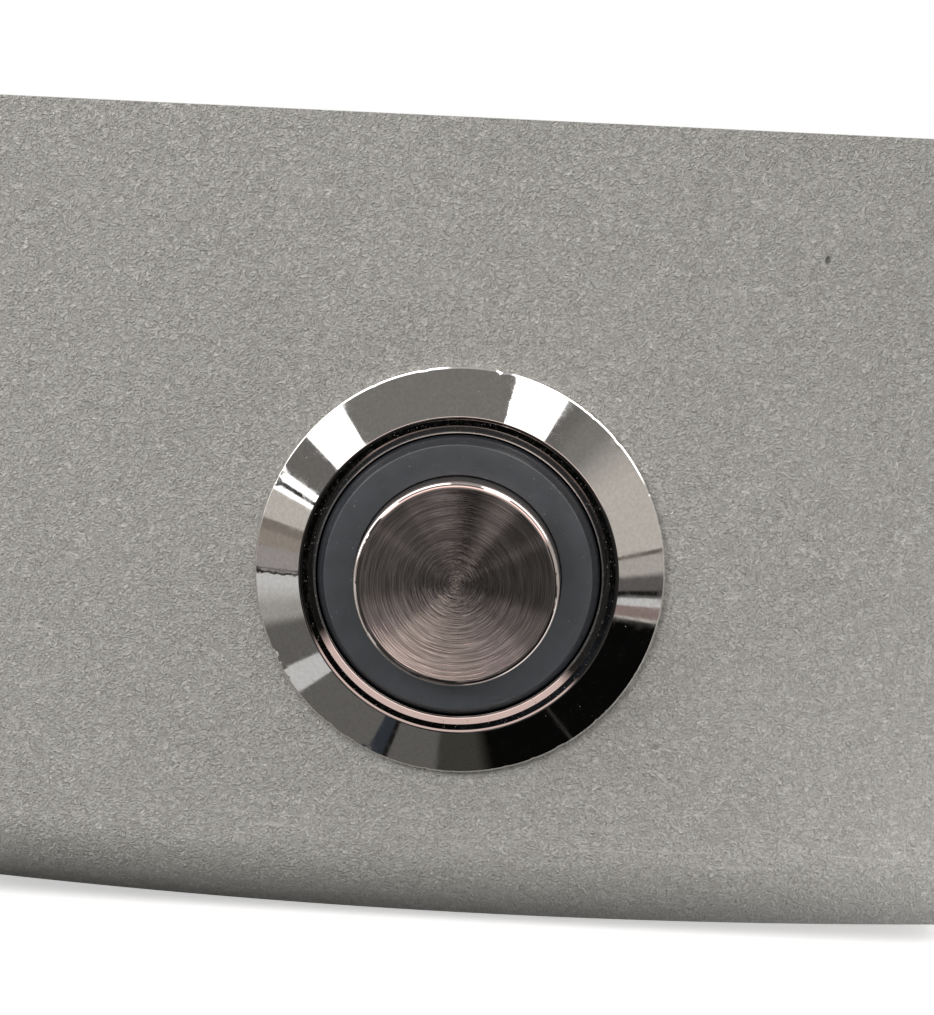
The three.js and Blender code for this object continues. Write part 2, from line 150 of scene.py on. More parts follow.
NICK = (18.6, 17.5)                       # a small nick in the coat, right of and above the button
NICK_SQUASH = 0.55                        # its width for its height
RUBBED = (0.208, 0.514)                   # places round the cone, in turns, where its polish is rubbed
FINE = 256                                # segments round the visible turned pieces
PLAIN = 96                                # segments round small and hidden pieces


# ---- Mesh helpers ----

def filleted(corners, closed, steps=5):
    """A half-section with its corners rounded. A corner is (radius, depth) or (radius, depth, fillet)."""
    count = len(corners)
    points = []
    for i, corner in enumerate(corners):
        here = Vector(corner[:2])
        size = corner[2] if len(corner) > 2 else 0.0
        if size == 0 or (not closed and i in (0, count - 1)):
            points.append(tuple(here))
            continue
        before = Vector(corners[i - 1][:2]) - here
        after = Vector(corners[(i + 1) % count][:2]) - here
        half_angle = before.angle(after) / 2
        sides = ((corners[i - 1], before), (corners[(i + 1) % count], after))
        room = [(0.49 if len(other) > 2 else 0.98) * side.length for other, side in sides]
        reach = min(size / math.tan(half_angle), *room)
        start = here + before.normalized() * reach
        end = here + after.normalized() * reach
        middle = (before.normalized() + after.normalized()).normalized()
        centre = here + middle * reach / math.cos(half_angle)
        radius = (start - centre).length
        for step in range(steps + 1):
            blend = start.lerp(end, step / steps) - centre
            points.append(tuple(centre + blend.normalized() * radius))
    return points


def swept(section_at, segments, closed=True):
    """Vertices and faces of a solid swept once round the press axis.

    section_at(turn) gives the half-section at that share of a turn. A section that isn't closed
    starts and ends on the axis.
    """
    vertices = []
    faces = []
    for i in range(segments):
        turn = i / segments
        section = section_at(turn)
        across, up = math.cos(turn * TAU), math.sin(turn * TAU)
        vertices += [(r * across, SEAT + depth, r * up) for r, depth in section]
    rows = len(section)
    links = rows if closed else rows - 1
    for i in range(segments):
        a, b = i * rows, ((i + 1) % segments) * rows
        for j in range(links):
            k = (j + 1) % rows
            faces.append((a + j, a + k, b + k, b + j))
    return vertices, faces


def arc(centre, radius, start, end, steps):
    """Points along an arc, both ends included, with its angles in radians."""
    angles = [start + (end - start) * i / steps for i in range(steps + 1)]
    return [(centre[0] + radius * math.cos(a), centre[1] + radius * math.sin(a)) for a in angles]


def placed(name, data):
    """A new object in the scene."""
    obj = bpy.data.objects.new(name, data)
    bpy.context.scene.collection.objects.link(obj)
    return obj


def piece(name, vertices, faces, offset=(0, 0, 0)):
    """A closed, outward-facing mesh object from millimetre vertices."""
    mesh = bpy.data.meshes.new(name)
    shift = Vector(offset)
    mesh.from_pydata([(Vector(v) + shift) * MM for v in vertices], [], faces)
    bm = bmesh.new()
    bm.from_mesh(mesh)
    bmesh.ops.remove_doubles(bm, verts=bm.verts, dist=1e-7)
    bmesh.ops.recalc_face_normals(bm, faces=bm.faces)
    bm.to_mesh(mesh)
    bm.free()
    smooth(mesh)
    return placed(name, mesh)


def smooth(mesh):
    mesh.polygons.foreach_set("use_smooth", [True] * len(mesh.polygons))


def turned(name, corners, segments=PLAIN, offset=(0, 0, 0)):
    """A turned solid. Its half-section is closed unless it starts on the axis."""
    closed = corners[0][0] > 0
    section = filleted(corners, closed)
    vertices, faces = swept(lambda turn: section, segments, closed)
    return piece(name, vertices, faces, offset)


def lofted(name, outlines):
    """A solid through a row of outlines with the same number of points, capped at both ends."""
    count = len(outlines[0])
    last = (len(outlines) - 1) * count
    vertices = [point for outline in outlines for point in outline]
    faces = [tuple(range(count)), tuple(range(last + count - 1, last - 1, -1))]
    for row in range(0, last, count):
        for j in range(count):
            k = (j + 1) % count
            faces.append((row + j, row + k, row + count + k, row + count + j))
    return piece(name, vertices, faces)


def extruded(name, outline, front, back):
    """A prism along the press axis from an outline in X and Z, counted in order."""
    return lofted(name, [[(x, SEAT + y, z) for x, z in outline] for y in (front, back)])


def box_piece(name, low_corner, high_corner):
    (x0, y0, z0), (x1, y1, z1) = low_corner, high_corner
    return extruded(name, [(x0, z0), (x1, z0), (x1, z1), (x0, z1)], y0, y1)


def rod_piece(name, radius, front, back, x=0.0, z=0.0, segments=48):
    corners = [(0, front), (radius, front), (radius, back), (0, back)]
    return turned(name, corners, segments, offset=(x, 0, z))


def bake(obj):
    """Turns an object's modifiers into plain mesh."""
    graph = bpy.context.evaluated_depsgraph_get()
    mesh = bpy.data.meshes.new_from_object(obj.evaluated_get(graph))
    obj.modifiers.clear()
    old = obj.data
    obj.data = mesh
    mesh.name = old.name
    bpy.data.meshes.remove(old)


def carve(obj, *cutters):
    """Cuts the cutters out of obj and removes them."""
    for cutter in cutters:
        cut = obj.modifiers.new("cut", "BOOLEAN")
        cut.operation = "DIFFERENCE"
        cut.solver = "EXACT"
        cut.object = cutter
    bake(obj)
    for cutter in cutters:
        bpy.data.objects.remove(cutter)


def soften(obj, width, angle=35):
    """Rounds the sharp edges and lets the large faces set the shading."""
    bevel = obj.modifiers.new("edges", "BEVEL")
    bevel.width = width * MM
    bevel.segments = 3
    bevel.limit_method = "ANGLE"
    bevel.angle_limit = math.radians(angle)
    bake(obj)
    smooth(obj.data)


def settle(obj, body, finish, *nodes):
    """Gives a finished piece its shading, material and body, and hides the CAD nodes it stands for.

    Blender adds .001 to a material's name where the CAD file has that name.
    """
    normals = obj.modifiers.new("weighted", "WEIGHTED_NORMAL")
    normals.mode = "FACE_AREA"
    normals.weight = 90
    normals.keep_sharp = True
    obj.data.materials.clear()
    obj.data.materials.append(finish)
    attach(obj, body)
    finish.name.split(".")[0]
    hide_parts(*nodes)


# ---- Node helpers ----

class Graph:
    """Short names for building a node tree. An input can be a number, a colour or a socket."""

    def __init__(self, tree):
        self.tree = tree

    def add(self, kind, **settings):
        node = self.tree.nodes.new("ShaderNode" + kind)
        for name, value in settings.items():
            setattr(node, name, value)
        return node

    def feed(self, socket, value):
        if isinstance(value, bpy.types.NodeSocket):
            self.tree.links.new(value, socket)
        elif value is not None:
            socket.default_value = value

    def math(self, operation, a, b=None, clamp=False):
        node = self.add("Math", operation=operation, use_clamp=clamp)
        for socket, value in zip(node.inputs, (a, b)):
            self.feed(socket, value)
        return node.outputs[0]

    def plus(self, a, b):
        return self.math("ADD", a, b)

    def minus(self, a, b):
        return self.math("SUBTRACT", a, b)

    def times(self, a, b):
        return self.math("MULTIPLY", a, b)

    def split(self, vector):
        """The three numbers of a vector."""
        node = self.add("SeparateXYZ")
        self.feed(node.inputs[0], vector)
        return node.outputs

    def mix(self, factor, a, b):
        node = self.add("Mix", data_type="RGBA")
        self.feed(node.inputs[0], factor)
        self.feed(node.inputs[6], a)
        self.feed(node.inputs[7], b)
        return node.outputs[2]

    def span(self, value, from_low, from_high, to_low=0.0, to_high=1.0, smooth=False):
        node = self.add("MapRange", interpolation_type="SMOOTHSTEP" if smooth else "LINEAR")
        for socket, number in zip(node.inputs, (value, from_low, from_high, to_low, to_high)):
            self.feed(socket, number)
        return node.outputs[0]

    def noise(self, vector, scale, detail=2.0, roughness=0.5, distortion=0.0):
        node = self.add("TexNoise")
        self.feed(node.inputs["Vector"], vector)
        node.inputs["Scale"].default_value = scale
        node.inputs["Detail"].default_value = detail
        node.inputs["Roughness"].default_value = roughness
        node.inputs["Distortion"].default_value = distortion
        return node.outputs["Fac"]

    def specks(self, vector, scale, share, size):
        """Round dots: scale is cells per millimetre, share is how many cells hold a dot."""
        node = self.add("TexVoronoi")
        self.feed(node.inputs["Vector"], vector)
        node.inputs["Scale"].default_value = scale
        chance = self.add("SeparateColor")
        self.feed(chance.inputs[0], node.outputs["Color"])
        chosen = self.math("LESS_THAN", chance.outputs[0], share)
        radius = self.span(chance.outputs[1], 0.0, 1.0, 0.3 * size, size)
        inside = self.math("LESS_THAN", node.outputs["Distance"], radius)
        return self.times(chosen, inside)

    def ramp(self, value, stops, interpolation="LINEAR"):
        node = self.add("ValToRGB")
        ramp = node.color_ramp
        ramp.interpolation = interpolation
        while len(ramp.elements) < len(stops):
            ramp.elements.new(0.5)
        for element, (place, colour) in zip(ramp.elements, stops):
            element.position = place
            element.color = (*colour, 1.0)
        self.feed(node.inputs[0], value)
        return node.outputs[0]

    def place(self, scale=(1, 1, 1)):
        """Position in the row frame in millimetres, stretched by scale."""
        source = self.add("TexCoord")
        mapping = self.add("Mapping", vector_type="POINT")
        mapping.inputs["Scale"].default_value = [s / MM for s in scale]
        self.feed(mapping.inputs["Vector"], source.outputs["Object"])
        return mapping.outputs["Vector"]

    def polar(self):
        """Distance from the press axis, share of a turn round it, and depth along it, in millimetres."""
        x, y, z = self.split(self.place())
        radius = self.math("SQRT", self.plus(self.times(x, x), self.times(z, z)))
        turn = self.math("DIVIDE", self.math("ARCTAN2", z, x), TAU)
        return radius, turn, y

    def vector(self, x, y, z):
        node = self.add("CombineXYZ")
        for socket, value in zip(node.inputs, (x, y, z)):
            self.feed(socket, value)
        return node.outputs[0]

    def bump(self, height, strength, distance=0.01):
        """Distance is in millimetres."""
        node = self.add("Bump")
        self.feed(node.inputs["Strength"], strength)
        node.inputs["Distance"].default_value = distance * MM
        self.feed(node.inputs["Height"], height)
        return node.outputs[0]


class Finish(Graph):
    """A Principled material. Its made is the material, and set() feeds an input of its shader."""

    def __init__(self, name, colour=(0.8, 0.8, 0.8), roughness=0.5, metallic=0.0):
        self.made = bpy.data.materials.new(name)
        self.made.use_nodes = True
        super().__init__(self.made.node_tree)
        self.shader = self.tree.nodes["Principled BSDF"]
        self.set("Base Color", (*colour, 1))
        self.set("Roughness", roughness)
        self.set("Metallic", metallic)

    def set(self, name, value):
        self.feed(self.shader.inputs[name], value)


# ---- Materials ----

def wall_paint():
    """Silver-grey textured powder coat: pale and dark grains, pale streaking along the start of the fold as
    a painted highlight, and one small nick.
    """
    g = Finish("wall_paint", roughness=0.5, metallic=0.05)
    g.set("Specular IOR Level", 0.15)
    place = g.place()
    grain = g.noise(place, 3.7, detail=3.0, roughness=0.62, distortion=1.6)
    fine = g.noise(place, 9.0, roughness=0.6)
    broad = g.noise(place, 0.12)
    tone = g.plus(g.times(grain, 0.72), g.times(fine, 0.28))
    base = g.ramp(tone, [
        (0.30, (0.25, 0.244, 0.233)),
        (0.45, (0.39, 0.381, 0.364)),
        (0.55, (0.48, 0.470, 0.447)),
        (0.70, (0.74, 0.727, 0.697)),
    ])
    base = g.mix(g.span(broad, 0.35, 0.65, 0.0, 0.10), base, (0.58, 0.57, 0.54, 1))
    # Painted highlight: pale streaking along the start of the rolled edge stands in for the light band
    # there.
    streak = g.noise(g.place((0.16, 1, 3.2)), 1.0, detail=3.0)
    x, _, z = g.split(place)
    fold = WALL_BOTTOM + WALL.roll_radius
    off_fold = g.math("ABSOLUTE", g.minus(z, fold + 0.6))
    near_fold = g.math("SUBTRACT", 1.0, g.times(off_fold, 0.5), clamp=True)
    fold_highlight_streaks = g.times(g.span(streak, 0.60, 0.70), near_fold)
    base = g.mix(g.times(fold_highlight_streaks, 0.35), base, (0.85, 0.84, 0.81, 1))
    nick = g.add("VectorMath", operation="DISTANCE")
    g.feed(nick.inputs[0], g.vector(x, g.times(z, NICK_SQUASH), 0.0))
    nick.inputs[1].default_value = (NICK[0], NICK[1] * NICK_SQUASH, 0.0)
    dent = g.span(nick.outputs["Value"], 0.05, 0.19, 1.0, 0.0, smooth=True)
    base = g.mix(g.times(dent, 0.75), base, (0.10, 0.10, 0.10, 1))
    g.set("Base Color", base)
    g.set("Roughness", g.span(fine, 0.3, 0.7, 0.42, 0.60))
    height = g.minus(tone, g.times(dent, 0.6))
    g.set("Normal", g.bump(height, 1.0, 0.27))
    return g.made


def chrome():
    """Mirror nickel-chrome plate: dust and haze in the sunk land, the lip and land painted dark as painted
    shade, soft scuffs and polishing lines.
    """
    g = Finish("bezel_chrome", (0.82, 0.80, 0.78), 0.05, 1.0)
    radius, turn, depth = g.polar()
    place = g.place()
    sunk = g.math("LESS_THAN", radius, BEZEL.land_radius)
    land_dust = g.math("MAXIMUM", g.specks(place, 7.0, 0.10, 0.28), g.specks(place, 13.0, 0.12, 0.34))
    cone_dust = g.specks(place, 5.0, 0.03, 0.16)
    dust = g.mix(sunk, cone_dust, land_dust)
    mottle = g.noise(place, 5.0, detail=3.0, roughness=0.7)
    haze = g.times(sunk, g.span(mottle, 0.52, 0.75, 0.0, 0.05))
    cover = g.math("MAXIMUM", g.times(dust, 0.42), haze)
    g.set("Metallic", g.minus(1.0, cover))
    plate = g.mix(g.span(mottle, 0.35, 0.65), (0.74, 0.72, 0.70, 1), (0.86, 0.84, 0.82, 1))
    dusty = g.mix(cover, plate, (0.50, 0.48, 0.46, 1))
    # Painted shade: from the lip foot out to the crest the plate is painted dark.
    past_foot = g.span(radius, BEZEL.lip_foot_radius + 0.02, BEZEL.lip_foot_radius + 0.06)
    inside_crest = g.span(radius, BEZEL.crest_radius, BEZEL.crest_radius + 0.05, 1.0, 0.0)
    painted_lip_shade = g.times(past_foot, inside_crest)
    g.set("Base Color", g.mix(painted_lip_shade, dusty, (0.33, 0.32, 0.31, 1)))
    scuff = g.noise(place, 1.3, detail=4.0, roughness=0.6)
    gloss = g.span(scuff, 0.45, 0.75, 0.03, 0.11)
    g.set("Roughness", g.math("MAXIMUM", gloss, g.times(cover, 0.9)))
    lathe = g.vector(g.times(radius, 14.0), g.times(turn, 3.0), g.times(depth, 14.0))
    lines = g.noise(lathe, 1.0, detail=3.0)
    spokes = g.vector(g.times(turn, 90.0), g.times(radius, 2.5), 0.0)
    ripple = g.noise(spokes, 1.0, detail=3.0)
    rubbed = 1.2
    for worn_turn in RUBBED:
        away = g.math("COSINE", g.times(g.minus(turn, worn_turn), TAU))
        rubbed = g.plus(g.span(away, math.cos(0.06), 1.0, 0.0, 9.0, smooth=True), rubbed)
    height = g.plus(lines, g.times(ripple, rubbed))
    g.set("Normal", g.bump(height, 0.12, 0.004))
    return g.made


def turned_steel():
    """Stainless steel with a circular-turned face, a polished shoulder and a satin wall; the face and wall
    are painted darker as painted shade and the turning rings lighter as painted highlights.
    """
    g = Finish("turned_steel", (0.62, 0.545, 0.53), 0.22, 1.0)
    radius, turn, depth = g.polar()
    edge = CAP.outer - CAP.shoulder
    face = g.span(radius, edge, edge + 0.04, 1.0, 0.0)
    angle = g.times(turn, TAU)
    across = g.times(g.math("COSINE", angle), 1.8)
    up = g.times(g.math("SINE", angle), 1.8)
    rings = g.noise(g.vector(g.times(radius, 8.0), 0.0, 0.0), 1.0, roughness=0.7)
    arcs = g.noise(g.vector(g.times(radius, 13.0), across, up), 1.0, roughness=0.6)
    grooves = g.plus(g.times(rings, 0.38), g.times(arcs, 0.62))
    hollow = g.times(g.times(radius, radius), 0.60)
    height = g.plus(g.times(grooves, 0.75), hollow)
    # Painted highlight: the turning rings on the face are painted lighter, following the grooves.
    rings_with_painted_glints = g.times(g.span(grooves, 0.40, 0.60), face)
    wall = g.span(depth, CAP.shoulder + 0.05, CAP.shoulder + 0.15)
    # Painted shade: the turned face and the side wall are painted darker than the polished shoulder.
    steel_with_painted_shade = g.mix(face, (0.66, 0.59, 0.57, 1), (0.42, 0.368, 0.358, 1))
    steel_with_painted_shade = g.mix(wall, steel_with_painted_shade, (0.36, 0.33, 0.32, 1))
    g.set("Base Color", g.mix(rings_with_painted_glints, steel_with_painted_shade, (0.82, 0.74, 0.72, 1)))
    g.set("Roughness", g.plus(g.span(face, 0.0, 1.0, 0.06, 0.12), g.times(wall, 0.26)))
    g.set("Anisotropic", g.times(face, 0.9))
    g.set("Anisotropic Rotation", 0.25)
    tangent = g.add("Tangent", direction_type="RADIAL", axis="Y")
    g.set("Tangent", tangent.outputs[0])
    g.set("Normal", g.bump(height, face, 0.028))
    return g.made


def smoked_plastic():
    """Smoked light-guide plastic, satin, with its flank painted darker as painted shade and a few pale
    specks of dust.
    """
    g = Finish("smoked_ring", (0.060, 0.065, 0.073), 0.38)
    place = g.place()
    cloud = g.noise(place, 0.9, detail=3.0)
    base = g.mix(g.span(cloud, 0.35, 0.7), (0.057, 0.062, 0.069, 1), (0.068, 0.074, 0.083, 1))
    radius = g.polar()[0]
    # Painted shade: the flank outside the flat top is painted darker.
    flank = g.span(radius, RING.top_radius - 0.02, RING.top_radius + 0.05)
    base = g.mix(flank, base, (0.021, 0.024, 0.029, 1))
    dust = g.math("MAXIMUM", g.specks(place, 3.2, 0.10, 0.13), g.specks(place, 9.0, 0.05, 0.30))
    g.set("Base Color", g.mix(g.times(dust, 0.35), base, (0.42, 0.42, 0.41, 1)))
    g.set("Roughness", g.span(g.noise(place, 3.0, detail=4.0), 0.3, 0.7, 0.30, 0.46))
    g.set("Coat Weight", 0.4)
    g.set("Coat Roughness", 0.14)
    g.set("Normal", g.bump(g.noise(place, 14.0), 0.12, 0.01))
    return g.made


def rubber():
    """Matt black seal rubber, slightly mottled."""
    g = Finish("seal_rubber", (0.018, 0.018, 0.018), 0.7)
    place = g.place()
    g.set("Roughness", g.span(g.noise(place, 4.0, detail=3.0), 0.3, 0.7, 0.58, 0.8))
    g.set("Base Color", g.mix(g.noise(place, 1.5), (0.012, 0.012, 0.012, 1), (0.03, 0.03, 0.028, 1)))
    g.set("Normal", g.bump(g.noise(place, 12.0), 0.2, 0.02))
    return g.made


def moulded_plastic(name, dark, light, gloss=0.42):
    """Glass-filled moulding: a fine eggshell grain and faint flow marks."""
    g = Finish(name, dark, gloss)
    flow = g.noise(g.place((1, 0.25, 1)), 0.7, detail=3.0, distortion=0.8)
    g.set("Base Color", g.mix(g.span(flow, 0.3, 0.7), (*dark, 1), (*light, 1)))
    grain = g.noise(g.place(), 11.0)
    g.set("Roughness", g.span(grain, 0.3, 0.7, gloss - 0.06, gloss + 0.10))
    g.set("Normal", g.bump(grain, 0.18, 0.02))
    return g.made


def metal(name, colour, tarnish, roughness, stretch=(1, 1, 1), scale=4.0):
    """Plated or stamped metal: fine lines, set by the stretch, with stains and uneven gloss."""
    g = Finish(name, colour, roughness, 1.0)
    stain = g.noise(g.place(), 0.8, detail=4.0, roughness=0.6)
    g.set("Base Color", g.mix(g.span(stain, 0.42, 0.72), (*colour, 1), (*tarnish, 1)))
    lines = g.noise(g.place(stretch), scale, detail=4.0, roughness=0.6)
    g.set("Roughness", g.span(lines, 0.3, 0.7, roughness - 0.07, roughness + 0.12))
    g.set("Normal", g.bump(lines, 0.22, 0.012))
    return g.made


def circuit_board():
    """Green solder mask over copper tracks that run round the board."""
    g = Finish("circuit_board", (0.02, 0.13, 0.05), 0.35)
    radius = g.polar()[0]
    track = g.math("LESS_THAN", g.math("ABSOLUTE", g.minus(radius, 3.9)), 0.18)
    outer = g.math("LESS_THAN", g.math("ABSOLUTE", g.minus(radius, 5.5)), 0.16)
    copper = g.math("MAXIMUM", track, outer)
    weave = g.noise(g.place(), 9.0)
    mask = g.mix(g.span(weave, 0.3, 0.7), (0.012, 0.10, 0.035, 1), (0.02, 0.14, 0.05, 1))
    g.set("Base Color", g.mix(copper, mask, (0.05, 0.26, 0.09, 1)))
    g.set("Normal", g.bump(copper, 0.4, 0.03))
    g.set("Coat Weight", 0.5)
    return g.made


def led_lens():
    """Yellow phosphor in a white body, silvered at both ends."""
    g = Finish("led_body", (0.85, 0.82, 0.70), 0.35)
    turn = g.polar()[1]
    quarter = g.math("FRACT", g.times(turn, 4.0))
    along = g.math("ABSOLUTE", g.minus(quarter, 0.5))
    lens = g.math("LESS_THAN", along, 0.055)
    pad = g.math("GREATER_THAN", along, 0.078)
    base = g.mix(lens, (0.82, 0.82, 0.78, 1), (0.85, 0.62, 0.10, 1))
    g.set("Base Color", g.mix(pad, base, (0.75, 0.74, 0.70, 1)))
    g.set("Metallic", pad)
    g.set("Roughness", g.span(g.noise(g.place(), 8.0), 0.3, 0.7, 0.25, 0.45))
    return g.made


def resistor_lacquer():
    """Tan lacquer with colour bands and tinned wire."""
    tan, blue, grey = (0.62, 0.42, 0.22), (0.05, 0.12, 0.50), (0.42, 0.42, 0.42)
    brown, gold, tin = (0.25, 0.10, 0.04), (0.65, 0.45, 0.12), (0.70, 0.69, 0.66)
    g = Finish("resistor_body", tan, 0.3)
    front = low("resistor").y
    depth = g.split(g.place())[1]
    along = g.math("DIVIDE", g.minus(depth, front), RESISTOR.length)
    bands = g.ramp(along, [
        (0.0, tan), (0.10, blue), (0.19, tan), (0.32, grey), (0.40, tan), (0.50, brown), (0.58, tan),
        (0.80, gold), (0.90, tan), (1.0, tin),
    ], "CONSTANT")
    g.set("Base Color", bands)
    g.set("Metallic", g.math("GREATER_THAN", along, 1.0))
    g.set("Normal", g.bump(g.noise(g.place(), 7.0), 0.15, 0.02))
    return g.made


# ---- The wall ----

def wall_outline():
    """Depth and height of the formed sheet, from the top of its front face round to its back."""
    roll, thickness = WALL.roll_radius, WALL.thickness
    centre = (roll, WALL_BOTTOM + roll)
    outer_arc = arc(centre, roll, math.pi, 1.5 * math.pi, 20)
    inner_arc = arc(centre, roll - thickness, 1.5 * math.pi, math.pi, 20)
    ends = [(WALL_RETURN, WALL_BOTTOM), (WALL_RETURN, WALL_BOTTOM + thickness)]
    return [(0, WALL_TOP), *outer_arc, *ends, *inner_arc, (thickness, WALL_TOP)]


def housing_wall(finish):
    """Its lower half follows the bow of the rolled edge."""
    outline = wall_outline()
    spans = 56
    outlines = []
    for i in range(spans + 1):
        x = -WALL_HALF + 2 * WALL_HALF * i / spans
        lift = x * x / (2 * WALL.bow_radius)
        outlines.append([(x, SEAT + depth, z if z > 0 else z + lift) for depth, z in outline])
    sheet = lofted("wall_sheet", outlines)
    carve(sheet, rod_piece("hole", WALL.hole, -2, 4, segments=FINE))
    soften(sheet, 0.14)
    settle(sheet, "body", finish, "housing_wall")


# ---- The metal body, washer and nut ----

def thread_radius(depth, turn):
    """A right-hand thread that fades out at both ends."""
    phase = (depth / THREAD.pitch + turn) % 1.0
    flank = min(1.0, max(0.0, (abs(2 * phase - 1) - 0.13) / 0.72))
    fade_in = min(1.0, max(0.0, (depth - THREAD.start) / 0.9))
    fade_out = min(1.0, max(0.0, (THREAD.end - depth) / 0.5))
    return THREAD.major - THREAD.height * flank * fade_in * fade_out


def rim_nicks():
    """Small dents along the rim as (turn, half width in turns, depth)."""
    rng = random.Random(7)
    return [(rng.random(), rng.uniform(0.0012, 0.004), rng.uniform(0.015, 0.07)) for _ in range(26)]


def bushing(finish):
    """The bezel and the barrel, with a dented rim and a real thread."""
    nicks = rim_nicks()
    rows = 14 * round(THREAD.end - THREAD.start)
    thread_depths = [THREAD.end + (THREAD.start - THREAD.end) * i / rows for i in range(rows + 1)]
    cone_top = Vector((RIM_RADIUS - BEZEL.chamfer, -BEZEL.rim - BEZEL.chamfer))
    cone_foot = Vector((BEZEL.crest_radius, -BEZEL.crest))
    cone_rows = [tuple(cone_top.lerp(cone_foot, share)) for share in (0.07, 0.12, 0.5, 0.9)]
    lip_top = Vector((BEZEL.lip_radius, -BEZEL.land))
    lip_foot = Vector((BEZEL.lip_foot_radius, -BEZEL.lip_foot))
    lip_rows = [tuple(lip_top.lerp(lip_foot, share)) for share in (0.25, 0.5, 0.93)]
    metal_section = filleted([
        (SEAL_GROOVE.outer, -SEAL_GROOVE.depth, 0.03),
        (SEAL_GROOVE.outer, 0, 0.05),
        (RIM_RADIUS, 0, 0.04),
        (RIM_RADIUS, -BEZEL.rim, 0.05),
        (RIM_RADIUS - BEZEL.chamfer, -BEZEL.rim - BEZEL.chamfer, 0.06),
        *cone_rows,
        (BEZEL.crest_radius, -BEZEL.crest, 0.1),
        (BEZEL.land_radius, -BEZEL.land, 0.02),
        (*lip_top, 0.015),
        *lip_rows,
        tuple(lip_foot),
        (BEZEL.bore, -BEZEL.bead, 0.02),
        (BEZEL.bore, SHOULDER_DEPTH, 0.05),
        (CHAMBER_RADIUS, SHOULDER_DEPTH, 0.05),
        (CHAMBER_RADIUS, BARREL_END, 0.12),
        (THREAD.major - 0.4, BARREL_END, 0.08),
        (THREAD.major, BARREL_END - 0.4, 0.04),
    ], closed=False)

    def section(turn):
        points = []
        for radius, depth in metal_section:
            if radius > RIM_RADIUS - BEZEL.chamfer - 0.02 and depth < 0.01:
                for centre, width, dent in nicks:
                    away = min(abs(turn - centre), 1 - abs(turn - centre)) / width
                    radius -= dent * max(0.0, 1 - away * away)
            points.append((radius, depth))
        points += [(thread_radius(depth, turn), depth) for depth in thread_depths]
        points.append((THREAD.major, -SEAL_GROOVE.depth))
        return points

    body = piece("bezel_and_barrel", *swept(section, 360))
    settle(body, "body", finish, "bushing")


def lock_washer(finish):
    """Its teeth point inwards."""
    front, back = depths("lock_washer")
    outer = high("lock_washer").x
    teeth, tip, root = WASHER.teeth, WASHER.tip, WASHER.root

    def section(turn):
        wave = abs((turn * teeth) % 1.0 - 0.5) * 2
        inner = tip + (root - tip) * min(1.0, max(0.0, (wave - 0.42) / 0.16))
        return filleted([
            (inner, front, 0.04), (outer, front, 0.06), (outer, back, 0.06), (inner, back, 0.04),
        ], closed=True, steps=2)

    washer = piece("tooth_washer", *swept(section, 20 * teeth))
    settle(washer, "washer", finish, "lock_washer")


def mounting_nut(finish):
    """Chamfered corners outside, and the barrel's thread with a little play inside."""
    face = NUT_FLAT - NUT.chamfer
    mouth = NUT.mouth
    slope = NUT.chamfer_drop / (NUT_CORNER - face)
    rows = 14 * round(NUT_BACK - NUT_FRONT)

    def section(turn):
        across = (turn * 360) % 60 - 30
        outer = min(NUT_FLAT / math.cos(math.radians(across)), NUT_CORNER - 0.04)
        drop = max(0.02, (outer - face) * slope)
        points = filleted([
            (mouth, NUT_FRONT),
            (face, NUT_FRONT, 0.1),
            (outer, NUT_FRONT + drop, 0.05),
            (outer, NUT_BACK - drop, 0.05),
            (face, NUT_BACK, 0.1),
            (mouth, NUT_BACK),
        ], closed=False, steps=3)
        for i in range(1, rows):
            depth = NUT_BACK + (NUT_FRONT - NUT_BACK) * i / rows
            thread = thread_radius(depth, turn) + THREAD.play
            inset = min(depth - NUT_FRONT, NUT_BACK - depth)
            points.append((max(thread, mouth - inset), depth))
        return points

    nut = piece("clamp_nut", *swept(section, 360))
    settle(nut, "nut", finish, "mounting_nut")


# ---- What the finger moves ----

def actuator_cap(finish):
    """The turned face gets real concentric grooves about a micrometre deep."""
    rng = random.Random(3)
    shoulder_start = CAP.outer - CAP.shoulder - 0.02
    spacing = CAP.line
    count = int(shoulder_start / spacing) - 1
    dish = [CAP.dish * (1 - (i * spacing / shoulder_start) ** 2) for i in range(count)]
    face = [(i * spacing, CAP_TOP + dish[i] + rng.uniform(0.0, 0.0012)) for i in range(1, count)]
    side = filleted([
        (shoulder_start, CAP_TOP), (CAP.outer, CAP_TOP, CAP.shoulder),
        (CAP.outer, CAP_RIM, 0.08), (CAP.inner, CAP_RIM, 0.06),
        (CAP.inner, CAP_TOP + CAP.face, 0.15), (0, CAP_TOP + CAP.face),
    ], closed=False, steps=10)
    section = [(0, CAP_TOP + CAP.dish), *face, *side]
    cap = piece("cap_shell", *swept(lambda turn: section, FINE, closed=False))
    settle(cap, "button", finish, "actuator_cap")


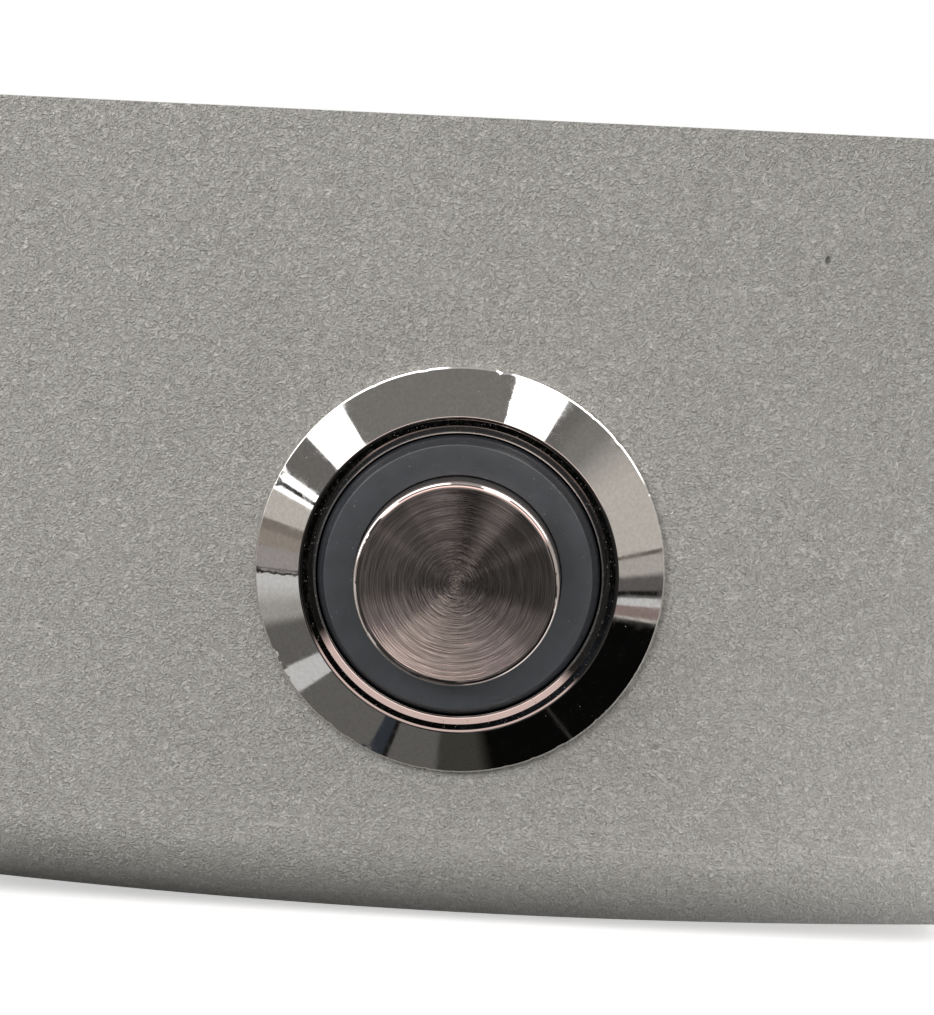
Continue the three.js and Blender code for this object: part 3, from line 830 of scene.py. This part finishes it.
def light_ring(finish):
    """The smoked plunger, whose front edge is the ring that shows."""
    boss_top = CAP_TOP + CAP.face + 0.05
    collar_front = SHOULDER_DEPTH + 0.05
    ring = turned("ring_plunger", [
        (0, boss_top), (RING.boss, boss_top, 0.1),
        (RING.boss, -RING.groove_floor, 0.05), (RING.groove, -RING.groove_floor, 0.05),
        (RING.groove, -RING.top, 0.07), (RING.top_radius, -RING.top, 0.07),
        (RING.flank_radius, -RING.flank, 0.1), (RING.flank_radius, -RING.flank_end, 0.05),
        (RING.radius, -RING.flank_foot, 0.05), (RING.radius, RING.seal_from, 0.04),
        (RING.seal_radius, RING.seal_from, 0.06), (RING.seal_radius, RING.seal_to, 0.06),
        (RING.radius, RING.seal_to, 0.04), (RING.radius, collar_front, 0.05),
        (COLLAR_RADIUS, collar_front, 0.06), (COLLAR_RADIUS, RING.collar_end, 0.12),
        (RING.skirt, RING.collar_end, 0.08), (RING.skirt, RING.web, 0.4),
        (RING.stem, RING.web, 0.3), (RING.stem, STEM_END, 0.2), (0, STEM_END),
    ], FINE)
    settle(ring, "button", finish, "light_ring")


def contact_carrier(finish):
    """A round block with a slot across it for the bridge."""
    front, back = depths("contact_carrier")
    radius = high("contact_carrier").x
    block = turned("slotted_carrier", [
        (0, front), (radius, front, 0.15), (radius, back, 0.15), (0, back),
    ])
    length, height = CARRIER_SLOT.half_length, CARRIER_SLOT.half_height
    slot_front, slot_back = front + CARRIER_SLOT.from_front, back - CARRIER_SLOT.from_back
    carve(block, box_piece("slot", (-length, slot_front, -height), (length, slot_back, height)))
    soften(block, 0.06, angle=50)
    settle(block, "button", finish, "contact_carrier")


def contact_bridge(finish):
    """A strip with round ends that is waisted where it runs through the carrier."""
    front, back = depths("contact_bridge")
    half_length, half_width = high("contact_bridge").x, high("contact_bridge").z
    waist, neck = BRIDGE.waist, BRIDGE.neck
    slope_end = neck + half_width - waist
    end = arc((half_length - half_width, 0), half_width, -math.pi / 2, math.pi / 2, 16)
    top = [(slope_end, half_width), (neck, waist), (-neck, waist), (-slope_end, half_width)]
    half = [*end, *top]
    strip = extruded("bridge_strip", half + [(-x, -z) for x, z in half], front, back)
    soften(strip, 0.05)
    settle(strip, "bridge", finish, "contact_bridge")


def contact_button(node, body, finish):
    """A crowned silver button. Its crown faces the other contact."""
    left, right = low(node).x, high(node).x
    radius = (right - left) / 2
    front, back = depths(node)
    seat, crown = (front, back) if body == "bridge" else (back, front)
    edge = crown + (seat - crown) * 0.27
    button = turned(node + "_crown", [
        (0, seat), (radius, seat, 0.03), (radius, edge, 0.08), (radius * 0.7, crown, 0.5), (0, crown),
    ], offset=((left + right) / 2, 0, 0))
    settle(button, body, finish, node)


def seal(name, node, body, finish):
    """An O-ring of round section."""
    front, back = depths(node)
    wire = (back - front) / 2
    section = arc((high(node).x - wire, (front + back) / 2), wire, 0, TAU, 32)[:-1]
    ring = piece(name, *swept(lambda turn: section, FINE))
    settle(ring, body, finish, node)


# ---- Springs ----

def spring(name, node, body, size, finish):
    """A round-wire coil whose end turns lie closer together."""
    wire, turns = size.wire, size.turns
    start, end = low(node), high(node)
    radius = (end.x - start.x) / 2 - wire
    first, last = start.y + wire, end.y - wire
    crowding, sides, steps = 0.55, 14, turns * 48
    round_wire = arc((0, 0), wire, 0, TAU, sides)[:-1]
    rings = []
    for i in range(steps + 1):
        t = i / steps
        angle = TAU * turns * t
        depth = first + (last - first) * (t - crowding * math.sin(TAU * t) / TAU)
        out = Vector((math.cos(angle), 0, math.sin(angle)))
        centre = out * radius + Vector((0, depth, 0))
        rings.append([centre + out * away + Vector((0, along, 0)) for away, along in round_wire])
    coil = lofted(name, rings)
    settle(coil, body, finish, node)
    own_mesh(coil)


def springs(finish):
    spring("return_coil", "return_spring", "body", RETURN_SPRING, finish)
    spring("contact_coil", "contact_spring", "bridge", CONTACT_SPRING, finish)


# ---- The fixed insides ----

def lead_holes(radius, front, back):
    """Cutters for the two leads of the lamps."""
    return [rod_piece(f"lead_hole_{side}", radius, front, back, z=side * LEAD.offset, segments=32)
            for side in (-1, 1)]


def inner_housing(finish):
    """A spool for the return spring and the lamp board in front, and the contact chamber behind."""
    front, back = depths("inner_housing")
    radius = high("inner_housing").x
    body = turned("inner_frame", [
        (SPOOL.spring_bore, front, 0.12), (SPOOL.radius, front, 0.2),
        (SPOOL.radius, SPOOL.end, 0.25), (radius, SPOOL.end, 0.2), (radius, back, 0.15),
        (SPOOL.chamber, back, 0.1), (SPOOL.chamber, SPOOL.chamber_roof, 0.3),
        (SPOOL.stem_bore, SPOOL.chamber_roof, 0.15), (SPOOL.stem_bore, SPOOL.spring_floor, 0.1),
        (SPOOL.spring_bore, SPOOL.spring_floor, 0.2),
    ], 128)
    carve(body, *lead_holes(0.5, 2, 11))
    settle(body, "body", finish, "inner_housing")


def led_board(finish):
    front, back = depths("led_board")
    board = turned("lamp_board", [
        (BOARD.inner, front, 0.03), (BOARD.outer, front, 0.03), (BOARD.outer, back, 0.03),
        (BOARD.inner, back, 0.03),
    ], 128)
    carve(board, *lead_holes(0.4, 1, 5))
    settle(board, "body", finish, "led_board")


def led(index, finish):
    """A chip lamp: a stepped body with a domed lens that faces the light ring."""
    angle = (index + 0.5) * TAU / 4
    front, back = depths("led_1")
    half = LED.half_width
    chip = box_piece(f"lamp_{index + 1}", (-half, front + LED.body, LED.inner),
                     (half, back, LED.outer))
    bm = bmesh.new()
    bm.from_mesh(chip.data)
    top = min(bm.faces, key=lambda face: face.calc_center_median().y)
    bmesh.ops.inset_region(bm, faces=[top], thickness=LED.lens_edge * MM)
    bmesh.ops.translate(bm, verts=top.verts, vec=(0, -LED.lens_rise * MM, 0))
    bmesh.ops.scale(bm, verts=top.verts, vec=(0.75, 1, 0.8),
                    space=Matrix.Translation(-top.calc_center_median()))
    bmesh.ops.rotate(bm, verts=bm.verts, cent=(0, 0, 0),
                     matrix=Euler((0, angle, 0)).to_matrix())
    bm.to_mesh(chip.data)
    bm.free()
    soften(chip, 0.04)
    settle(chip, "body", finish, f"led_{index + 1}")


def lamp_lead(node, side, finish):
    """A straight wire with a cone of solder where it goes into the board."""
    front, back = depths(node)
    radius, joint = LEAD.radius, LEAD.joint_end
    lead = turned(node + "_wire", [
        (0, front), (radius, front, 0.1), (LEAD.tip_radius, front + LEAD.tip, 0.1),
        (LEAD.joint_radius, joint, 0.02), (radius, joint, 0.02), (radius, back, 0.05), (0, back),
    ], 48, offset=(0, 0, side * LEAD.offset))
    settle(lead, "body", finish, node)


def resistor(finish):
    """A dumb-bell body and the wire that leaves it."""
    front, back = depths("resistor")
    end = front + RESISTOR.length
    big, small, wire = RESISTOR.cap_radius, RESISTOR.middle_radius, LEAD.radius
    cap, middle = RESISTOR.cap, RESISTOR.middle
    body = turned("series_resistor", [
        (0, front), (big, front, 0.25), (big, front + cap, 0.2), (small, front + middle, 0.2),
        (small, end - middle, 0.2), (big, end - cap, 0.2), (big, end, 0.25), (wire, end, 0.05),
        (wire, back, 0.04), (0, back),
    ], 64, offset=(0, 0, LEAD.offset))
    settle(body, "body", finish, "resistor")


def terminal(node, tab, turn, finish):
    """A stamped blade with a head inside, a small step behind the base and a pointed, holed tab."""
    thickness, end, step, bend = BLADE.thickness, BLADE.end, BLADE.step, BLADE.step_from
    offset, head, back = tab.offset, tab.head, tab.head + thickness
    near, far = offset - thickness / 2, offset + thickness / 2
    profile = [(tab.head_from, head), (tab.head_to, head), (tab.head_to, back), (far, back),
               (far, bend), (far + step, bend + step), (far + step, end), (near + step, end),
               (near + step, bend + step), (near, bend), (near, back), (tab.head_from, back)]
    half = tab.width / 2
    blade = lofted(node + "_blade", [[(x, SEAT + y, z) for x, y in profile] for z in (-half, half)])
    hole = rod_piece("tab_hole", BLADE.hole, 0, 2)
    hole.data.transform(Matrix.Translation((0, -(SEAT + 1) * MM, 0)))
    hole.data.transform(Euler((0, 0, math.pi / 2)).to_matrix().to_4x4())
    hole.data.transform(Matrix.Translation((offset * MM, (SEAT + end - BLADE.hole_from_end) * MM, 0)))
    carve(blade, hole)
    for vertex in blade.data.vertices:
        if vertex.co.y > (SEAT + end - 0.01) * MM:
            vertex.co.z *= BLADE.point
    soften(blade, 0.06)
    blade.data.transform(Euler((0, turn, 0)).to_matrix().to_4x4())
    settle(blade, "body", finish, node)


def terminals(finish):
    terminal("no_terminal", SWITCH_TAB, 0.0, finish)
    terminal("common_terminal", SWITCH_TAB, math.pi, finish)
    terminal("lamp_plus_terminal", LAMP_TAB, -math.pi / 2, finish)
    terminal("lamp_minus_terminal", LAMP_TAB, math.pi / 2, finish)


def slot_cutter(name, x, z, half_x, half_z, end):
    """A box that cuts into the base from in front of it to the depth end."""
    return box_piece(name, (x - half_x, BASE_FRONT - 1, z - half_z), (x + half_x, end, z + half_z))


def terminal_base(finish):
    """A plug with a flange, a recess behind and a slot for each blade."""
    plug, flange, radius, recess = BASE.plug, BASE.flange_from, BASE.radius, BASE.recess
    floor = BASE_END - BASE.recess_depth
    base = turned("base_block", [
        (0, BASE_FRONT), (plug, BASE_FRONT, 0.2), (plug, flange, 0.05), (radius, flange, 0.12),
        (radius, BASE_END, 0.3), (recess, BASE_END, 0.12), (recess, floor, 0.2), (0, floor),
    ], 160)
    play = BASE.slot_play
    thick, through = BLADE.thickness / 2 + play, BASE_END + 1
    wide, narrow = SWITCH_TAB.width / 2 + play, LAMP_TAB.width / 2 + play
    head = (LAMP_TAB.head_from + LAMP_TAB.head_to) / 2
    head_half = (LAMP_TAB.head_to - LAMP_TAB.head_from) / 2 + play
    head_end = LAMP_TAB.head + BLADE.thickness + play
    cutters = [rod_piece("pocket", BASE.pocket, BASE_FRONT - 1, BASE.pocket_end)]
    for side in (-1, 1):
        cutters.append(slot_cutter("blade_slot", side * SWITCH_TAB.offset, 0, thick, wide, through))
        cutters.append(slot_cutter("lamp_slot", 0, side * LAMP_TAB.offset, narrow, thick, through))
        cutters.append(slot_cutter("lamp_pocket", 0, side * head, narrow, head_half, head_end))
    carve(base, *cutters)
    settle(base, "body", finish, "terminal_base")


def base_gasket(finish):
    front, back = depths("base_gasket")
    outer = high("base_gasket").x
    gasket = turned("rear_gasket", [
        (GASKET_BORE, front, 0.05), (outer, front, 0.1), (outer, back, 0.1), (GASKET_BORE, back, 0.05),
    ], 160)
    settle(gasket, "body", finish, "base_gasket")


# ---- Studio ----

VIEW = Sizes(distance=160.0, azimuth=1.9, elevation=9.3, roll=2.7, aim_up=1.21, aim_right=0.14)
LENS = 105.87                             # mm on a 36 mm sensor


def toward(azimuth, elevation):
    """Unit vector from the button to a viewer at these angles in degrees."""
    a, e = math.radians(azimuth), math.radians(elevation)
    return Vector((math.sin(a) * math.cos(e), -math.cos(a) * math.cos(e), math.sin(e)))


def camera():
    data = bpy.data.cameras.new("camera")
    data.lens = LENS
    data.sensor_width = 36
    data.clip_start, data.clip_end = 0.005, 20
    obj = placed("camera", data)
    back = toward(VIEW.azimuth, VIEW.elevation)
    obj.location = (Vector((0, SEAT, 0)) + back * VIEW.distance) * MM
    level = (-back).to_track_quat("-Z", "Y")
    tilt = Euler((math.radians(VIEW.aim_up), -math.radians(VIEW.aim_right), 0)).to_quaternion()
    roll = Euler((0, 0, math.radians(VIEW.roll))).to_quaternion()
    obj.rotation_mode = "QUATERNION"
    obj.rotation_quaternion = level @ roll @ tilt
    bpy.context.scene.camera = obj


def studio_floor():
    """A plain pale floor under the wall's rolled edge."""
    half = 4.0
    mesh = bpy.data.meshes.new("floor")
    height = (WALL_BOTTOM - 0.02) * MM
    corners = [(-half, -half), (half, -half), (half, half), (-half, half)]
    mesh.from_pydata([(x, y, height) for x, y in corners], [], [(0, 1, 2, 3)])
    obj = placed("floor", mesh)
    g = Finish("floor", (0.92, 0.92, 0.92), 0.9)
    g.set("Emission Color", (1, 1, 1, 1))
    g.set("Emission Strength", 0.5)
    mesh.materials.append(g.made)
    obj.visible_glossy = False
    obj.visible_diffuse = False
    obj.visible_shadow = False


# What the polished metal reflects, seen from the camera. Each card list goes by clock angle in degrees,
# anticlockwise from the user's right: (start, brightness, tint, softness), and each card runs to the
# next. A zone is the lean of the reflecting surface away from facing the user, in degrees.
WHITE, GREY, BEIGE, PINK = (1, 1, 1), (1, 0.97, 0.92), (1, 0.95, 0.88), (1, 0.77, 0.72)
MAUVE, OLIVE, BLUE = (1, 0.93, 0.92), (1, 0.96, 0.84), (0.72, 0.87, 1.08)
BROWN, ROSE, TAN = (1, 0.88, 0.78), (1, 0.93, 0.91), (1, 0.91, 0.83)
FACING_CARDS = [(-180, 0.004, GREY), (-62, 0.05, BLUE, 6), (-28, 0.004, GREY, 6)]
NEAR_CARDS = [
    (-180, 0.06, GREY), (-166, 0.05, GREY, 3), (-152, 0.13, ROSE, 1), (-146, 0.06, GREY, 1),
    (-126, 0.20, ROSE, 1), (-112, 0.08, GREY, 2), (-104, 0.02, GREY, 1), (-87, 0.26, ROSE, 0.4),
    (-82, 0.13, ROSE, 1), (-76, 0.28, ROSE, 1), (-71, 0.10, ROSE, 2), (-62, 0.20, ROSE, 1),
    (-57, 0.10, GREY, 2), (-36, 0.18, ROSE, 1), (-32, 0.10, GREY, 2), (0, 0.10, GREY, 6),
    (14, 0.22, ROSE, 8), (40, 0.52, TAN, 6), (76, 0.36, TAN, 2), (92, 0.45, TAN, 1),
    (99, 0.32, TAN, 2), (112, 0.34, ROSE, 1), (117, 0.25, ROSE, 2), (140, 0.16, ROSE, 6),
    (165, 0.06, GREY, 4),
]
LIP_CARDS = [
    (-180, 0.04, GREY), (-140, 0.02, GREY, 6), (29, 1.75, PINK, 5), (139, 0.04, GREY, 4),
]
CONE_CARDS = [
    (-180, 0.33, MAUVE), (-178.6, 0.02, GREY), (-177.4, 0.60, WHITE), (-170, 0.36, GREY, 4),
    (-162, 0.13, GREY, 2), (-148, 0.60, WHITE), (-140, 0.13, GREY), (-114.5, 0.045, BLUE),
    (-110, 0.012, GREY), (-108.5, 0.12, GREY), (-94, 0.05, OLIVE, 1), (-80, 0.003, GREY, 3),
    (-54, 0.03, GREY), (-53, 0.003, GREY), (-13, 0.04, GREY, 1), (-12, 0.5, BEIGE),
    (-11.2, 0.26, PINK), (-7.5, 0.6, WHITE), (-5, 0.12, GREY), (-4.2, 0.01, GREY),
    (-2.5, 0.12, MAUVE), (2.5, 0.44, BEIGE, 1), (8.5, 0.15, BROWN), (9.8, 0.54, BEIGE),
    (34, 0.48, BEIGE, 4), (42, 0.22, GREY, 7), (54, 0.16, GREY, 3), (60.5, 3.0, WHITE),
    (76.5, 0.20, GREY), (128, 3.0, WHITE), (141, 0.16, GREY), (153, 2.5, WHITE),
    (155.5, 0.02, GREY), (157, 2.0, WHITE), (158.5, 0.55, BEIGE), (167, 0.22, BROWN),
    (170, 0.30, BROWN, 1), (175, 0.33, MAUVE),
]
ROOM_CARDS = [
    (-180, 0.9, GREY), (-138, 0.10, GREY, 4), (-83, 0.5, GREY, 2), (-62, 1.3, WHITE, 6),
    (-8, 0.6, GREY, 4), (30, 3.0, WHITE, 3), (78, 0.5, WHITE, 1), (96, 3.0, WHITE, 1),
    (168, 0.8, GREY, 4),
]
ZONES = [(FACING_CARDS, 2.0, 3.5), (NEAR_CARDS, 15, 18), (LIP_CARDS, 26, 29), (CONE_CARDS, 38, 41),
         (ROOM_CARDS, 72, 78)]
GRAZING = (0.06, 0.06, 0.062, 1)          # what surfaces show that lean away past the last zone


def card_ring(g, clock, cards, soft=0.35):
    """The cards of one zone, as a chain of mixes because a colour ramp holds too few."""
    result = None
    for card in cards:
        start, level, tint = card[:3]
        blur = card[3] if len(card) > 3 else soft
        colour = (*(level * c for c in tint), 1)
        if result is None:
            result = colour
        else:
            result = g.mix(g.span(clock, start - blur, start + blur, smooth=True), result, colour)
    return result


def reflected_room(g, direction):
    """The half-way vector between a direction and the camera says which surface shows that direction."""
    total = g.add("VectorMath", operation="ADD")
    g.feed(total.inputs[0], direction)
    total.inputs[1].default_value = toward(VIEW.azimuth, VIEW.elevation)
    half = g.add("VectorMath", operation="NORMALIZE")
    g.feed(half.inputs[0], total.outputs[0])
    x, y, z = g.split(half.outputs[0])
    lean = g.math("DEGREES", g.math("ARCCOSINE", g.times(y, -1.0)))
    ragged = g.times(g.minus(g.noise(half.outputs[0], 26.0), 0.5), 1.2)
    clock = g.plus(g.math("DEGREES", g.math("ARCTAN2", z, x)), ragged)
    result = None
    edge = None
    for cards, end, full in ZONES:
        ring = card_ring(g, clock, cards)
        result = ring if result is None else g.mix(g.span(lean, *edge, smooth=True), result, ring)
        edge = (end, full)
    return g.mix(g.span(lean, *edge, smooth=True), result, GRAZING)


def soft_room(g, direction):
    """The even light that falls on everything: bright above and dim below."""
    return g.ramp(g.span(g.split(direction)[2], -1.0, 1.0), [
        (0.0, (0.006, 0.006, 0.006)), (0.42, (0.02, 0.02, 0.02)), (0.50, (0.28, 0.275, 0.265)),
        (0.6, (1.12, 1.095, 1.05)), (1.0, (1.30, 1.275, 1.225)),
    ])


def world():
    made = bpy.data.worlds.new("studio")
    bpy.context.scene.world = made
    made.use_nodes = True
    made.node_tree.nodes.clear()
    g = Graph(made.node_tree)
    direction = g.add("TexCoord").outputs["Generated"]
    rays = g.add("LightPath")
    shown = g.mix(rays.outputs["Is Glossy Ray"], soft_room(g, direction), reflected_room(g, direction))
    shown = g.mix(rays.outputs["Is Camera Ray"], shown, (1, 1, 1, 1))
    background = g.add("Background")
    g.feed(background.inputs[0], shown)
    output = g.add("OutputWorld")
    g.feed(output.inputs[0], background.outputs[0])


def area_light(name, at, aim, size, power, spread=180):
    """A round lamp that no reflection shows, placed and aimed in millimetres, with its spread in degrees."""
    data = bpy.data.lights.new(name, "AREA")
    data.shape = "DISK"
    data.size = size * MM
    data.energy = power
    data.spread = math.radians(spread)
    obj = placed(name, data)
    obj.location = Vector(at) * MM
    obj.rotation_mode = "QUATERNION"
    obj.rotation_quaternion = (Vector(aim) - Vector(at)).to_track_quat("-Z", "Y")
    obj.visible_glossy = False


def studio():
    studio_floor()
    world()
    area_light("key", (-150, -146, 110), (0, 0, 0), 130, 0.31)
    area_light("low_fill", (46, -8, -31), (25, 3, -19), 16, 0.0065)
    area_light("ring_fill", (30, -62, -30), (4.2, -2.5, -4.2), 4, 0.0001, spread=10)
    view = bpy.context.scene.view_settings
    view.view_transform = "Standard"
    view.look = "None"
    camera()


# ---- Build ----

def build():
    plastic = moulded_plastic("black_plastic", (0.018, 0.018, 0.020), (0.030, 0.030, 0.032))
    red = moulded_plastic("red_plastic", (0.33, 0.03, 0.02), (0.42, 0.05, 0.03))
    seal_rubber = rubber()
    steel_wire = metal("spring_steel", (0.62, 0.62, 0.63), (0.50, 0.49, 0.47), 0.24)
    nickel = metal("zinc_steel", (0.72, 0.71, 0.69), (0.58, 0.56, 0.52), 0.24, (1, 4, 1))
    brass = metal("terminal_brass", (0.78, 0.60, 0.27), (0.55, 0.38, 0.16), 0.26, (1, 0.15, 1))
    silver = metal("contact_silver", (0.86, 0.85, 0.83), (0.62, 0.58, 0.50), 0.28)
    tinned = metal("tinned_wire", (0.66, 0.65, 0.63), (0.48, 0.47, 0.45), 0.34)

    housing_wall(wall_paint())
    bushing(chrome())
    seal("panel_o_ring", "panel_seal", "body", seal_rubber)
    lock_washer(nickel)
    mounting_nut(nickel)
    actuator_cap(turned_steel())
    light_ring(smoked_plastic())
    seal("plunger_o_ring", "plunger_seal", "button", seal_rubber)
    contact_carrier(red)
    contact_bridge(brass)
    for side in ("no", "common"):
        contact_button(f"moving_contact_{side}", "bridge", silver)
        contact_button(f"fixed_contact_{side}", "body", silver)
    springs(steel_wire)
    inner_housing(plastic)
    led_board(circuit_board())
    lens = led_lens()
    for index in range(4):
        led(index, lens)
    lamp_lead("led_lead_plus", 1, tinned)
    lamp_lead("led_lead_minus", -1, tinned)
    resistor(resistor_lacquer())
    terminals(brass)
    terminal_base(plastic)
    base_gasket(seal_rubber)


build()
studio()
